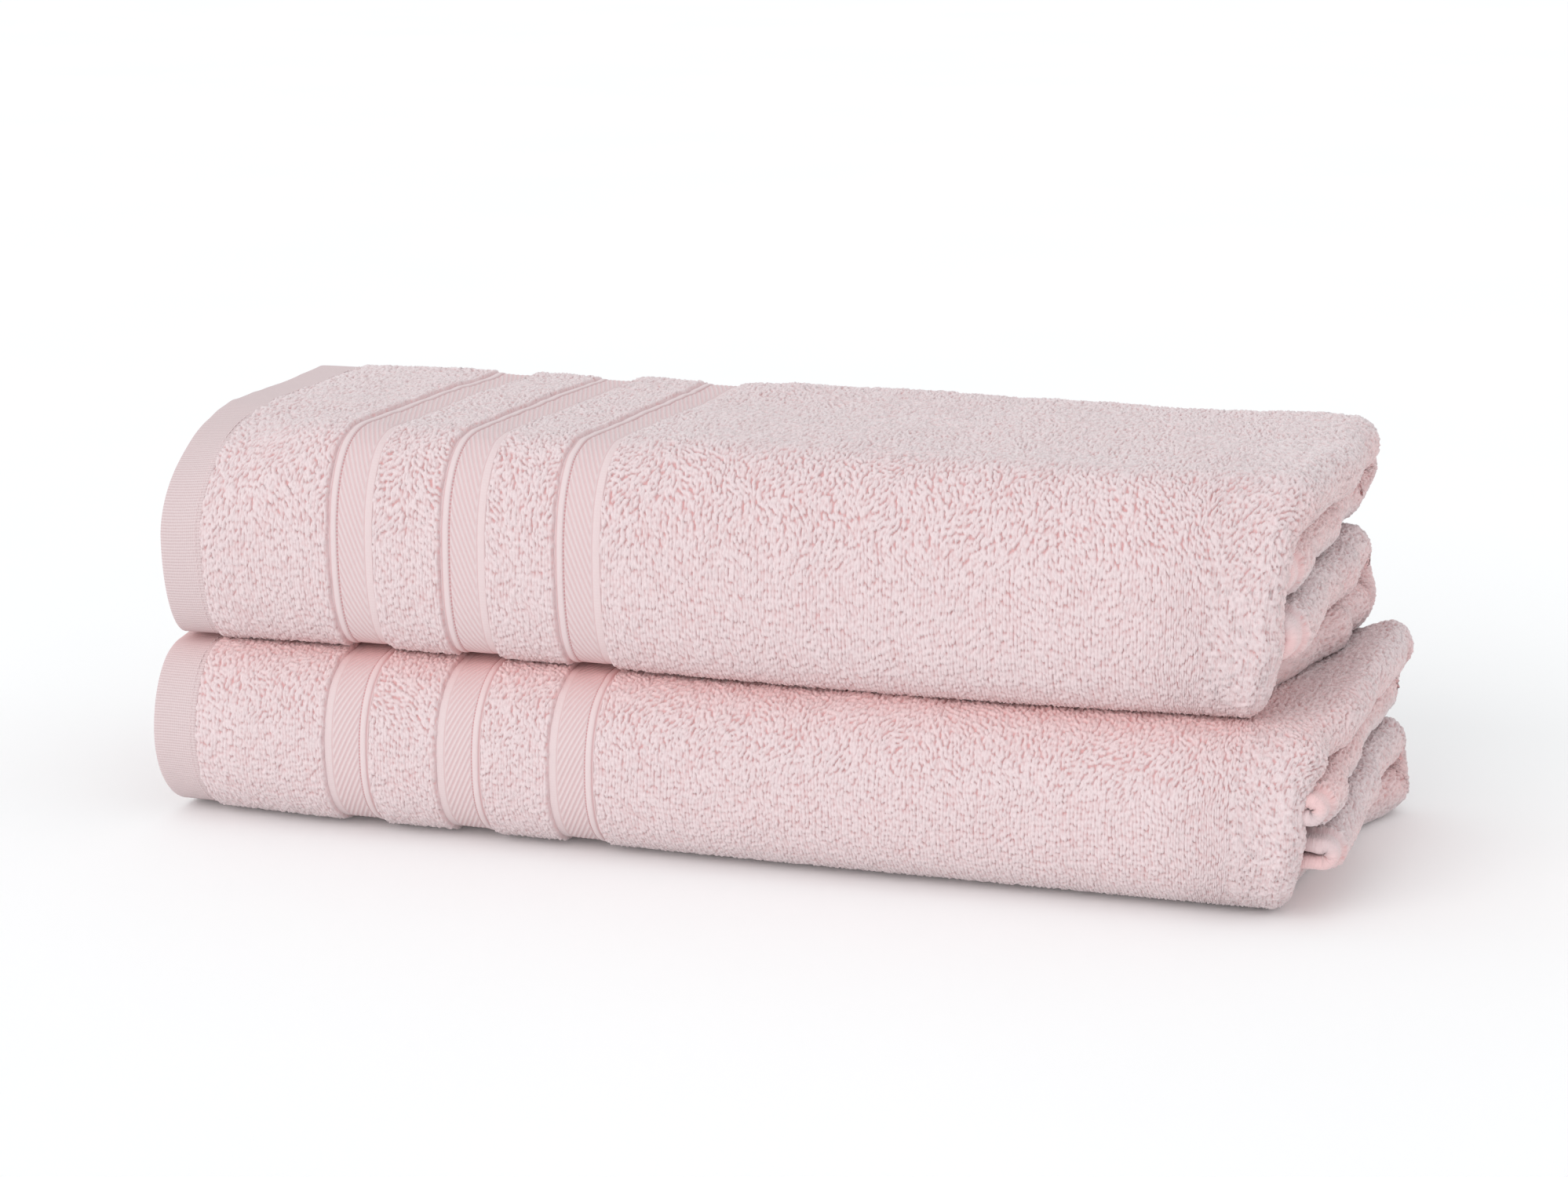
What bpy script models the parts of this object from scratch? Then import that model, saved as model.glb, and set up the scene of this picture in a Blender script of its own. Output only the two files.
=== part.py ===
"""Bath towel set: two thick cotton bath towels, each folded in three along its length and in four
across its width, stacked with their rounded front folds and their hem ends together.

Frame: +X runs along the folded length away from the hem ends, -Y is the side of the rounded front
folds, +Z is up, and the origin is the bottom centre of the stack's box. Each towel is made as its
weave zones: a terry body, a flat end hem and three flat border bands let into the terry, with the
sewing thread of the hem on top.
"""

from dataclasses import dataclass
from math import copysign, cos, pi, radians, sin, sqrt

import bpy
from mathutils import Vector

# Driving dimensions, in metres
UPPER_LENGTH = 0.466
LOWER_LENGTH = 0.478
FOLDED_DEPTH = 0.180
UPPER_HEIGHT = 0.087
LOWER_HEIGHT = 0.075
UPPER_SET_BACK = 0.009  # the upper front fold stands behind the lower one by this much

HEM_WIDTH = 0.018
FIRST_TERRY_WIDTH = 0.0545  # terry between the hem and the first band
BAND_WIDTH = 0.0198
BAND_PITCH = 0.0478
BAND_COUNT = 3

PILE_HEIGHT = 0.0025  # how far the terry stands proud of the border bands
HEM_DROP = 0.0016  # how far the terry stands proud of the hem
WEAVE_THICKNESS = 0.0026
FIT_GAP = 0.0003
BEVEL = 0.0010  # slope at each edge of the terry

FRONT_ROUND = 0.034  # how far back the front fold's curve reaches
HEM_END_ROUND = 0.054  # the same at the hem end, where fewer layers fill the top
HEM_END_REACH = 0.048  # how far past the hem that softness reaches
FRONT_POWER = 2.3  # 2 is an ellipse, and more is squarer
NOTCH_DEPTH = 0.026  # between the two back folds
NOTCH_OPENING = 0.0016

HEM_END_SET_IN = 0.003  # the folded layers inside stand back from the hem's edge
END_ROUND = 0.012
HEM_NOSE_SHARE = 0.85  # the most of the hem's width that the inner folds' rounding may take
NOSE_DEPTH = 0.007
CREASE_DEPTH = 0.011

THREAD_SET_IN = 0.0026  # from the hem's inner edge to its row of stitches
THREAD_WIDTH = 0.0009
THREAD_RISE = 0.0006

FRONT_STEPS = 9  # mesh segments in each half of the front fold
ROLL_STEPS = 10
FLAT_STEPS = 4
END_RINGS = 5
STEEP_RINGS = 0.45  # share of those rings over which an end rises from its rim to its noses
FIELD_STATIONS = 4  # cross-sections along the long terry field


@dataclass(frozen=True)
class Towel:
    """One folded towel: its name, its size, where its corner stands, and its nose folds at +X.

    A nose fold is (centre, half height, set back), the first two as shares of the height."""

    name: str
    length: float
    height: float
    x_start: float
    y_front: float
    z_base: float
    noses: tuple


STACK_LENGTH = max(UPPER_LENGTH, LOWER_LENGTH)
STACK_DEPTH = FOLDED_DEPTH + UPPER_SET_BACK
HEM_NOSES = ((0.15, 0.16, 0.0), (0.39, 0.13, 0.001), (0.62, 0.13, 0.001), (0.86, 0.16, 0.0))

LOWER = Towel(
    name="lower",
    length=LOWER_LENGTH,
    height=LOWER_HEIGHT,
    x_start=-STACK_LENGTH / 2,
    y_front=-STACK_DEPTH / 2,
    z_base=0.0,
    noses=((0.20, 0.21, 0.001), (0.48, 0.11, 0.007), (0.79, 0.22, 0.0)),
)
UPPER = Towel(
    name="upper",
    length=UPPER_LENGTH,
    height=UPPER_HEIGHT,
    x_start=-STACK_LENGTH / 2,
    y_front=-STACK_DEPTH / 2 + UPPER_SET_BACK,
    z_base=LOWER_HEIGHT + FIT_GAP,
    noses=((0.21, 0.22, 0.002), (0.53, 0.13, 0.006), (0.83, 0.18, 0.0)),
)


def band_start(index):
    """Distance along the towel from the hem's edge to the start of a border band."""
    return HEM_WIDTH + FIRST_TERRY_WIDTH + index * BAND_PITCH


def front_round(along):
    """Depth of the front fold's curve on its top half, which is softer near the hem end."""
    share = min(1.0, max(0.0, (along - HEM_WIDTH) / HEM_END_REACH))
    ease = share * share * (3 - 2 * share)
    return HEM_END_ROUND + (FRONT_ROUND - HEM_END_ROUND) * ease


def half_outline(towel, along):
    """The top half of a cross-section as (y, z) points, from the back notch to the front."""
    height, back = towel.height, FOLDED_DEPTH
    reach = front_round(along)
    radius = (height - NOTCH_OPENING) / 4
    points = [(back - NOTCH_DEPTH, height / 2)]
    for step in range(ROLL_STEPS + 1):
        turn = -pi / 2 + pi * step / ROLL_STEPS
        points.append((back - radius + radius * cos(turn), height - radius + radius * sin(turn)))
    for step in range(1, FLAT_STEPS):
        share = step / FLAT_STEPS
        points.append((back - radius + (reach - back + radius) * share, height))
    for step in range(FRONT_STEPS + 1):
        turn = pi / 2 * (1 - step / FRONT_STEPS)
        depth = reach * (1 - cos(turn) ** (2 / FRONT_POWER))
        points.append((depth, height / 2 * (1 + sin(turn) ** (2 / FRONT_POWER))))
    return points


def outline(towel, along, inset=0.0):
    """A whole closed cross-section, moved inward by inset. Point 0 is the back notch, and point i
    and point -i lie above and below each other."""
    top = half_outline(towel, along)
    low = half_outline(towel, towel.length)
    low = [(y, towel.height - z) for y, z in low]
    points = [Vector(p) for p in top + low[-2:0:-1]]
    if inset == 0:
        return points
    moved = []
    for here, point in enumerate(points):
        ahead = points[(here + 1) % len(points)] - points[here - 1]
        inward = Vector((-ahead.y, ahead.x)).normalized()
        moved.append(point + inward * inset)
    return moved


def end_relief(share, noses):
    """How far an end surface stands back from its furthest nose, at a share of the height."""
    relief = CREASE_DEPTH
    for centre, half, set_back in noses:
        offset = (share - centre) / half
        if abs(offset) < 1:
            relief = min(relief, set_back + NOSE_DEPTH * (1 - sqrt(1 - offset * offset)))
    return relief


class Builder:
    """Collects faces over shared points, then makes one closed object of them."""

    def __init__(self):
        self.points, self.index, self.faces = [], {}, []

    def point(self, place):
        key = tuple(round(value, 7) for value in place)
        if key not in self.index:
            self.index[key] = len(self.points)
            self.points.append(tuple(place))
        return self.index[key]

    def face(self, corners):
        kept = []
        for corner in corners:
            if corner not in kept:
                kept.append(corner)
        if len(kept) > 2:
            self.faces.append(kept)

    def strip(self, first, second, closed=True):
        """Quads between two rows of points."""
        for here in range(len(first) if closed else len(first) - 1):
            after = (here + 1) % len(first)
            self.face((first[here], first[after], second[after], second[here]))

    def finish(self, name, material, sharp=40):
        mesh = bpy.data.meshes.new(name)
        mesh.from_pydata(self.points, [], self.faces)
        mesh.validate()
        mesh.materials.append(material)
        mesh.shade_smooth()
        mesh.set_sharp_from_angle(angle=radians(sharp))
        body = bpy.data.objects.new(name, mesh)
        bpy.context.collection.objects.link(body)
        return body


def cloth_material(name, colour, roughness):
    material = bpy.data.materials.new(name)
    material.use_nodes = True
    shader = material.node_tree.nodes["Principled BSDF"]
    shader.inputs["Base Color"].default_value = (*colour, 1.0)
    shader.inputs["Roughness"].default_value = roughness
    shader.inputs["Metallic"].default_value = 0.0
    return material


def ring(builder, towel, along, inset):
    """One cross-section's points in the world."""
    start, front, base = towel.x_start, towel.y_front, towel.z_base
    return [
        builder.point((start + along, front + y, base + z))
        for y, z in outline(towel, along, inset)
    ]


def end_cap(builder, towel, along, inset, noses, reach):
    """Closes one end with its row of nose folds, the furthest of them standing out by reach, which is
    negative at the hem end. Rings shrink towards a line at half height."""
    section = outline(towel, along, inset)
    near = FRONT_ROUND
    far = FOLDED_DEPTH - 3 * NOTCH_DEPTH
    rows = []
    for step in range(END_RINGS + 1):
        share = step / END_RINGS
        rise = sqrt(1 - (1 - min(1.0, share / STEEP_RINGS)) ** 2)
        row = []
        for here, point in enumerate(section):
            across = (point.x + section[-here].x) / 2
            middle = Vector((min(max(across, near), far), towel.height / 2))
            spot = point.lerp(middle, share)
            bulge = abs(reach) - end_relief(spot.y / towel.height, noses)
            x = towel.x_start + along + copysign(rise * bulge, reach)
            row.append(builder.point((x, towel.y_front + spot.x, towel.z_base + spot.y)))
        rows.append(row)
    for outer, inner in zip(rows, rows[1:]):
        if reach > 0:
            builder.strip(outer, inner)
        else:
            builder.strip(inner, outer)


def terry_zones(towel):
    """(start, end) of each stretch of pile, from the hem to the far end."""
    starts = [HEM_WIDTH] + [band_start(i) + BAND_WIDTH for i in range(BAND_COUNT)]
    ends = [band_start(i) for i in range(BAND_COUNT)] + [towel.length - END_ROUND]
    return list(zip(starts, ends))


def terry_body(towel, material):
    """The towel's terry, full size along its pile and let in where the flat weaves lie."""
    builder = Builder()
    hem_inset = HEM_DROP + WEAVE_THICKNESS
    band_inset = PILE_HEIGHT + WEAVE_THICKNESS
    hem_reach = min(END_ROUND, HEM_NOSE_SHARE * (HEM_WIDTH - HEM_END_SET_IN))
    left = HEM_END_SET_IN + hem_reach
    stations = [(left, hem_inset)]
    inset_before = hem_inset
    zones = terry_zones(towel)
    for number, (start, end) in enumerate(zones):
        stations.append((start, inset_before))
        stations.append((start + BEVEL / 4, BEVEL))
        stations.append((start + BEVEL, 0.0))
        last = number == len(zones) - 1
        middles = FIELD_STATIONS if last else 1
        for step in range(1, middles + 1):
            stations.append((start + (end - start) * step / (middles + 1), 0.0))
        if last:
            stations.append((end, 0.0))
        else:
            stations.append((end - BEVEL, 0.0))
            stations.append((end - BEVEL / 4, BEVEL))
            stations.append((end, band_inset))
        inset_before = band_inset
    rings = [ring(builder, towel, along, inset) for along, inset in stations]
    for first, second in zip(rings, rings[1:]):
        builder.strip(first, second)
    end_cap(builder, towel, *stations[-1], towel.noses, END_ROUND)
    end_cap(builder, towel, *stations[0], HEM_NOSES, -hem_reach)
    return builder.finish(f"{towel.name}_terry_body", material)


def wrapped_strip(towel, name, start, end, outer, inner, material, crown=0.0):
    """A thin cloth strip lying round the outside of the towel, from the underside of the top back
    fold, over the front, to the top side of the lower back fold."""
    builder = Builder()
    middle = (start + end) / 2
    around = [(start, inner), (start, outer), (middle, outer - crown), (end, outer), (end, inner)]
    rows = [ring(builder, towel, along, inset)[1:] for along, inset in around]
    rows.append(rows[0])
    for first, second in zip(rows, rows[1:]):
        builder.strip(first, second, closed=False)
    section = rows[:-1]
    builder.face([row[0] for row in section])
    builder.face([row[-1] for row in reversed(section)])
    return builder.finish(name, material)


def hem_strip(towel, material):
    return wrapped_strip(
        towel,
        f"{towel.name}_end_hem",
        0.0,
        HEM_WIDTH - FIT_GAP,
        HEM_DROP,
        HEM_DROP + WEAVE_THICKNESS - FIT_GAP,
        material,
    )


def border_band(towel, index, material):
    start = band_start(index)
    return wrapped_strip(
        towel,
        f"{towel.name}_border_band_{index + 1}",
        start + FIT_GAP,
        start + BAND_WIDTH - FIT_GAP,
        PILE_HEIGHT,
        PILE_HEIGHT + WEAVE_THICKNESS - FIT_GAP,
        material,
    )


def hem_thread(towel, material):
    """The row of sewing thread that holds the turned hem, on the hem's face."""
    seat = HEM_DROP - FIT_GAP
    end = HEM_WIDTH - THREAD_SET_IN
    return wrapped_strip(
        towel,
        f"{towel.name}_hem_thread",
        end - THREAD_WIDTH,
        end,
        seat - THREAD_RISE / 2,
        seat,
        material,
        crown=THREAD_RISE / 2,
    )


def folded_towel(towel, carrier=None):
    """All the pieces of one towel, carried by an empty if the towel moves."""
    name = towel.name
    pieces = [
        terry_body(towel, cloth_material(f"{name}_terry", (0.80, 0.63, 0.64), 0.95)),
        hem_strip(towel, cloth_material(f"{name}_plain_weave", (0.77, 0.62, 0.63), 0.85)),
        hem_thread(towel, cloth_material(f"{name}_sewing_thread", (0.79, 0.58, 0.60), 0.60)),
    ]
    for index in range(BAND_COUNT):
        twill = cloth_material(f"{name}_twill_{index + 1}", (0.79, 0.61, 0.62), 0.80)
        pieces.append(border_band(towel, index, twill))
    if carrier:
        for piece in pieces:
            piece.parent = carrier
            piece.matrix_parent_inverse = carrier.matrix_world.inverted()
    return pieces


def lift_axis():
    """An empty on the line along which the upper towel lifts off."""
    carrier = bpy.data.objects.new("upper_towel_lift", None)
    bpy.context.collection.objects.link(carrier)
    carrier.location = (0.0, 0.0, LOWER_HEIGHT + FIT_GAP)
    bpy.context.view_layer.update()
    return carrier


def main():
    for old in list(bpy.data.objects):
        bpy.data.objects.remove(old, do_unlink=True)
    folded_towel(LOWER)
    folded_towel(UPPER, lift_axis())


main()
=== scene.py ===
"""The looks of the bath towel set: each towel is one cloth, 0.70 x 1.40 m, really folded in three
along its length and in four across its width, with a looped terry face, a plain turned end hem with
its stitches, and three flat border bands of rib, twill and plain strip."""

from dataclasses import dataclass
from math import cos, pi, radians, sin

import bpy
import numpy as np
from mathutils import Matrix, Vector


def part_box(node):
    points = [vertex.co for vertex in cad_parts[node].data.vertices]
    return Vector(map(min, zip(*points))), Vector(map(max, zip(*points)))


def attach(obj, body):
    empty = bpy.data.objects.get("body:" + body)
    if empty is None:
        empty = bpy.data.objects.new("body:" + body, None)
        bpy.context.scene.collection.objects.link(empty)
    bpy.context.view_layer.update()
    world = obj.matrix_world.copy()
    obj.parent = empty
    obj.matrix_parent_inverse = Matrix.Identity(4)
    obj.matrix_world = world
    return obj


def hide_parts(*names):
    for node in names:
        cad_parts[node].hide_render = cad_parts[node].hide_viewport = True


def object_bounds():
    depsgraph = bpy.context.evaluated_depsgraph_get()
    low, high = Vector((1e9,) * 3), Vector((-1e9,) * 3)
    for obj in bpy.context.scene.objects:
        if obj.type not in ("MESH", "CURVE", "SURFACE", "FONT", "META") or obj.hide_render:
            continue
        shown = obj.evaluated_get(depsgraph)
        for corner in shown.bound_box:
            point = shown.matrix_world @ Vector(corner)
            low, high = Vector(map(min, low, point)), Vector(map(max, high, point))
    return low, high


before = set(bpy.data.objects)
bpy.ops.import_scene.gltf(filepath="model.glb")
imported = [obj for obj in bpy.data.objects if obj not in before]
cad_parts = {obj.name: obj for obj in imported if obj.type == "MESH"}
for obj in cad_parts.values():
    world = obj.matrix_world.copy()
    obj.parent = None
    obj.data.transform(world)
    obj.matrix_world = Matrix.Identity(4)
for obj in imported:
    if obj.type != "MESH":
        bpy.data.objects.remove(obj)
CAD_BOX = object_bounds()

# The cloth, in metres. u runs along its length from the hem that shows, v across its width.
CLOTH_WIDTH = 0.70
CLOTH_LENGTH = 1.40

# Weave zones along u, from the hem's edge
HEM_WIDTH = 0.018
FIRST_TERRY_WIDTH = 0.0545
BAND_WIDTH = 0.0198
BAND_PITCH = 0.0478
BAND_COUNT = 3

# Depths below the tips of the pile
PILE_HEIGHT = 0.0026
PILE_RELIEF = 0.0015
HEM_DROP = 0.0016
BAND_DROP = 0.0021
HEM_THICKNESS = 0.0030

# Places across the cloth
SHOWN_V = (0.128, 0.572)  # from where it comes out of the fold to where it goes in again
INNER_V = 0.158  # the quarters that are folded in, where the bands are squeezed up level
FRONT_V, FRONT_V_FADE = (0.322, 0.43), (0.032, 0.03)  # the front's start and end

# The pile's loops, in even columns on the front and more unruly elsewhere
LOOP_PITCH_U = 0.00132
LOOP_PITCH_V = 0.0021
LOOP_HALF_WIDTH = 0.00080
LOOP_HALF_LENGTH = 0.00150
LOOP_SPREAD = (0.13, 0.27)  # off the columns, in pitches: on the front, and added elsewhere
LOOP_TURN = (0.10, 0.45)  # of single loops, in radians: the same
FRONT_TURN, OTHER_TURN = (0.16, 0.12), (0.9, 0.9)  # of patches 11 and 30 mm wide, in radians
OVERHANG = 0.0012  # how far the pile leans out over a band or the hem
HIDDEN_EDGE = 0.0003  # and how much further its mesh runs, out of sight
LEAN = 0.0003  # how far the tips lean down the front
WALL_FADE, SIDE_FADE = 0.0011, 0.0008  # over which the pile ends at a band and at the selvage
RAGGED = 0.0005  # unevenness of the pile's ends
SELVAGE_WIDTH = 0.005  # woven flat, without loops, along both sides

# A border band, from its first edge: line, rib, dotted line, twill, line, plain strip.
# A line is given as its middle and half its width.
FIRST_LINE, DOTTED_LINE, LAST_LINE = (0.0012, 0.00035), (0.0043, 0.00030), (0.0160, 0.00026)
DOTTED_DEPTH, LAST_DEPTH = 0.00045, 0.0002
RIB_MIDDLE, RIB_HALF_WIDTH, RIB_HEIGHT = 0.0027, 0.0014, 0.0006
TWILL_START, TWILL_END, TWILL_FADE, TWILL_HEIGHT = 0.0046, 0.0157, 0.0004, 0.00020
TWILL_U, TWILL_V = 0.00205, 0.0042  # the twill's periods along and across the cloth
STRIP_START, STRIP_PITCH, STRIP_HEIGHT = 0.0163, 0.00105, 0.00006
DOT_PITCH = 0.0013

# The hem's weave and stitches
HEM_RIB_PITCH, HEM_WARP_PITCH = 0.0011, 0.0008
STITCH_INSET = 0.0024  # from the hem's inner edge
STITCH_LENGTH, STITCH_PITCH, STITCH_RADIUS, STITCH_ARCH = 0.0021, 0.0027, 0.00022, 0.00010
STITCH_SIDES, STITCH_RINGS = 6, 5

# The rounded selvages that show at both folded-in ends of the cloth's width
SIDE_TURN = np.linspace(pi / 9, pi, 8)
SIDE_CLEARANCE = 0.0030  # between one layer's round and the next
SIDE_BULGE, SIDE_UNEVEN = 0.40, 0.14  # shares of the thickness
SIDE_RETURN = 0.008  # how far the cloth runs back under its round
SIDE_MAP_RADIUS = 0.0015

# How the towels settle on each other
SAG_DEPTH, SAG_PLACE, SAG_REACH = 0.0020, 0.29, 0.12
SHOULDER_DROP, SHOULDER_REACH = 0.0046, 0.075
FRONT_Y = CAD_BOX[0][1]
PRESS = 0.0006  # how far each towel's pile sinks into the other's
SWELL = 0.0012  # of the front
LUMPS = (  # size, place in the noise, height, and what is added to the towel's seed
    (0.055, (3, 0), 0.0011, 0),
    (0.024, (0, 9), 0.0004, 1),
    (0.007, (0, 5), 0.00028, 4),
)
LIFT_START, LIFT_RUN = (0.449, 0.04), (0.026, 0.07)  # of the raised far corner, in x and y

# Where a towel's back and its far fold stand off from straight
SKEW_X = (0.0, 0.03, 0.08, 0.20, 0.32, 0.46)
SET_BACK_V = (
    0.0, 0.12, 0.175, 0.24, 0.30, 0.33, 0.355,
    0.38, 0.405, 0.44, 0.48, 0.525, 0.58, 0.70,
)

# Spacing of the meshes
TERRY_STEP, BAND_STEP = 0.00036, 0.00024  # along the cloth
BAND_V_STEP, HEM_V_STEP = 0.0007, 0.0012  # and across it
NOSE_STEP, NOSE_V_STEP = 0.0007, 0.0009  # round the far fold
BEND_STEP, BEND_V_STEP = 0.0011, 0.0012  # round the fold inside the hem end
INNER_STEP, INNER_V_STEP = 0.012, 0.006  # inside, out of sight
NOSE_ZONE = 0.026  # length of cloth before the far fold that is meshed with it

# Colours, in linear light
# Painted shade: the darker, deeper pink that the terry takes between its loops
GAP_SHADE_PINK = (0.70, 0.41, 0.41)
MID_PINK = (0.68, 0.50, 0.507)
TIP_PINK = (0.752, 0.622, 0.632)
# Painted bounce light: a bright salmon pink that lifts the shade where the towels lie against each
# other and in the far folds
BOUNCE_PINK = (0.97, 0.53, 0.51)
TERRY_STOPS = [(0.03, GAP_SHADE_PINK), (0.33, MID_PINK), (0.68, TIP_PINK)]
BAND_STOPS = [(0.0, (0.62, 0.32, 0.33)), (0.65, (0.66, 0.515, 0.52)), (1.0, (0.715, 0.60, 0.605))]
HEM_STOPS = [(0.1, (0.53, 0.395, 0.40)), (0.6, (0.64, 0.52, 0.525)), (1.0, (0.69, 0.58, 0.586))]
THREAD_STOPS = [(0.3, (0.69, 0.54, 0.545)), (0.7, (0.76, 0.64, 0.645))]
FLOOR_STOPS = [(0.3, (0.93, 0.93, 0.93)), (0.7, (0.95, 0.95, 0.95))]
HORIZON, ZENITH = (1.0, 1.0, 1.0), (0.88, 0.895, 0.905)
DEEP_REACH = 0.055  # how far the painted bounce light runs in between the towels
FOLD_BOUNCE = 0.38  # share of the painted bounce light in the far folds, where it lifts their shade
# how much painted bounce light the terry, the bands and the hem take
TERRY_BOUNCE, BAND_BOUNCE, HEM_BOUNCE = 0.68, 0.62, 0.45

# The wave texture's period, in its own units, along its diagonal and along one axis
WAVE_STEP = 2 * pi / 10
WAVE_PERIOD = 2 * pi / 20

# The camera, fitted to the straight lines of the stack, and the studio
CAMERA_AZIMUTH, CAMERA_ELEVATION, CAMERA_DISTANCE = radians(17.39), radians(13.34), 1.3259
CAMERA_AIM, CAMERA_RISE = (-0.004, 0.002, 0.075), 0.0171
CAMERA_SENSOR, CAMERA_LENS = 36.0, 74.66  # millimetres
FLOOR_HALF_WIDTH = 8.0
SKY_HEIGHTS = (0.10, 0.45)  # of the horizon's and the zenith's colour
KEY_STRENGTH, KEY_ANGLE, KEY_WAY = 1.0, radians(45), (0.35, 0.80, -0.45)


@dataclass
class Towel:
    """A folded towel's place and shape, in the frame's metres."""

    name: str
    front_round: float
    front_round_low: float
    hem_round: float
    hem_round_low: float
    hem_shift: float  # how far its hem stands out past the box of its solid
    contact: tuple  # middle and reach, across the cloth, of where it touches the other towel
    contact_end: float  # and how far along the cloth that runs
    selvage_reach: tuple  # past a quarter of its height behind the front: where its selvages lie
    set_back: tuple  # how far the far fold stands back, at SET_BACK_V across the cloth
    skew: tuple  # how far the back stands to +x of the front, at SKEW_X along the towel
    mirrored: bool  # its bands are woven the other way round
    fine_top: bool  # its top shows, and its underside doesn't
    rise: float  # how far its top stands above the box of its solid
    end_lift: float  # how far its top's far back corner stands up
    seed: int

    def __post_init__(self):
        low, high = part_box(f"{self.name}_terry_body")
        hem_low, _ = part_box(f"{self.name}_end_hem")
        self.low = Vector((hem_low[0], low[1], low[2]))
        self.length, self.depth, self.height = Vector(high) - self.low
        self.layer = self.height / 12 * 0.96
        self.body = f"{self.name}_towel"


def band_start(index):
    return HEM_WIDTH + FIRST_TERRY_WIDTH + index * BAND_PITCH


def smooth(t):
    t = np.clip(t, 0.0, 1.0)
    return t * t * (3 - 2 * t)


def value_noise(x, y, seed):
    """Smooth noise from -1 to 1, with one random value at each whole number."""
    table = np.random.default_rng(seed).uniform(-1, 1, (256, 256))
    ix, iy = np.floor(x).astype(int), np.floor(y).astype(int)
    fx, fy = smooth(x - ix), smooth(y - iy)
    a, b = table[ix % 256, iy % 256], table[(ix + 1) % 256, iy % 256]
    c, d = table[ix % 256, (iy + 1) % 256], table[(ix + 1) % 256, (iy + 1) % 256]
    return (a * (1 - fx) + b * fx) * (1 - fy) + (c * (1 - fx) + d * fx) * fy


# ------------------------------------------------------------------ the fold across the width


def arc(centre, radius, start, end, count=60):
    turn = np.linspace(start, end, count)
    return np.stack([centre[0] + radius * np.cos(turn), centre[1] + radius * np.sin(turn)], 1)


def line(start, end, count=60):
    return np.linspace(start, end, count)


def cross_path(towel, reach_top, reach_low, squareness):
    """The outer line of the fold in four, in (y, z), from one selvage to the other: along the inner
    top quarter, round the back, over the top, down the front, along the underside, round the lower
    back and in again."""
    depth, height = towel.depth, towel.height
    thick = height / 4
    gap = 0.0008
    inner_top, inner_low = thick + towel.selvage_reach[0], thick + towel.selvage_reach[1]
    back = depth - thick
    power = 2 / squareness
    turn = np.linspace(pi / 2, -pi / 2, 240)
    reach = np.where(turn > 0, reach_top, reach_low)
    flat = np.abs(np.cos(turn)) ** power
    tall = np.sign(turn) * np.abs(np.sin(turn)) ** power
    front = np.stack([reach * (1 - flat), height / 2 * (1 + tall)], 1)
    return np.concatenate(
        [
            line((inner_top, height / 2 + gap), (back, height / 2 + gap)),
            arc((back, height * 0.75), thick, -pi / 2, pi / 2)[1:],
            line((back, height), (reach_top, height))[1:],
            front[1:],
            line((reach_low, 0), (back, 0))[1:],
            arc((back, height * 0.25), thick, -pi / 2, pi / 2)[1:],
            line((back, height / 2 - gap), (inner_low, height / 2 - gap))[1:],
        ]
    )


def along_path(path, v):
    """Points and inward normals (y, z, ny, nz) where the cloth's width v falls on a path."""
    share = v / CLOTH_WIDTH
    step = np.linalg.norm(np.diff(path, axis=0), axis=1)
    along = np.concatenate([[0], np.cumsum(step)])
    along /= along[-1]
    reach = 0.006

    def at(s):
        s = np.clip(s, 0, 1)
        return np.interp(s, along, path[:, 0]), np.interp(s, along, path[:, 1])

    y, z = at(share)
    (ya, za), (yb, zb) = at(share + reach), at(share - reach)
    ty, tz = ya - yb, za - zb
    size = np.hypot(ty, tz)
    return y, z, -tz / size, ty / size


# ------------------------------------------------------------------ the fold along the length


def letter(towel, u):
    """The fold in three: x along the towel and depth w below the outer surface, for length u along
    the cloth. The far fold goes round the two inner panels, which meet in a fold inside the hem
    end."""
    layer, length = towel.layer, towel.length
    far, near = 1.5 * layer, layer
    start = 0.003
    first = length - far
    second = first + pi * far
    third = second + (length - far) - (start + near)
    fourth = third + pi * near
    far_turn = (u - first) / far
    near_turn = (u - third) / near
    zones = [u < first, u < second, u < third, u < fourth]
    x = np.select(
        zones,
        [
            u,
            length - far + far * np.sin(far_turn),
            length - far - (u - second),
            start + near - near * np.sin(near_turn),
        ],
        start + near + (u - fourth),
    )
    w = np.select(
        zones,
        [
            0 * u,
            far * (1 - np.cos(far_turn)),
            2 * far + 0 * u,
            2 * far - near * (1 - np.cos(near_turn)),
        ],
        2 * far - 2 * near,
    )
    return x, w, (first, second, third, fourth)


# ------------------------------------------------------------------ where the cloth lies


def tips(towel, u, v):
    """The surface over the tips of the pile, for each u and v, as an array of points."""
    x, w, _ = letter(towel, u)
    hard = along_path(cross_path(towel, towel.front_round, towel.front_round_low, 2.3), v)
    soft = along_path(cross_path(towel, towel.hem_round, towel.hem_round_low, 1.97), v)
    share = 1 - smooth(x / 0.075)
    x, w, share = x[:, None], w[:, None], share[:, None]
    y = (1 - share) * (hard[0] + w * hard[2]) + share * (soft[0] + w * soft[2])
    z = (1 - share) * (hard[1] + w * hard[3]) + share * (soft[1] + w * soft[3])
    back = np.interp(v, SET_BACK_V, towel.set_back)
    back = back + 0.0022 * value_noise(v / 0.019, v * 0 + 5, towel.seed + 3)
    set_back = back * smooth((x - towel.length + 0.07) / 0.07)
    x = x - set_back - towel.hem_shift * (1 - smooth(x / 0.04))
    return settle(towel, x, y, z)


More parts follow.
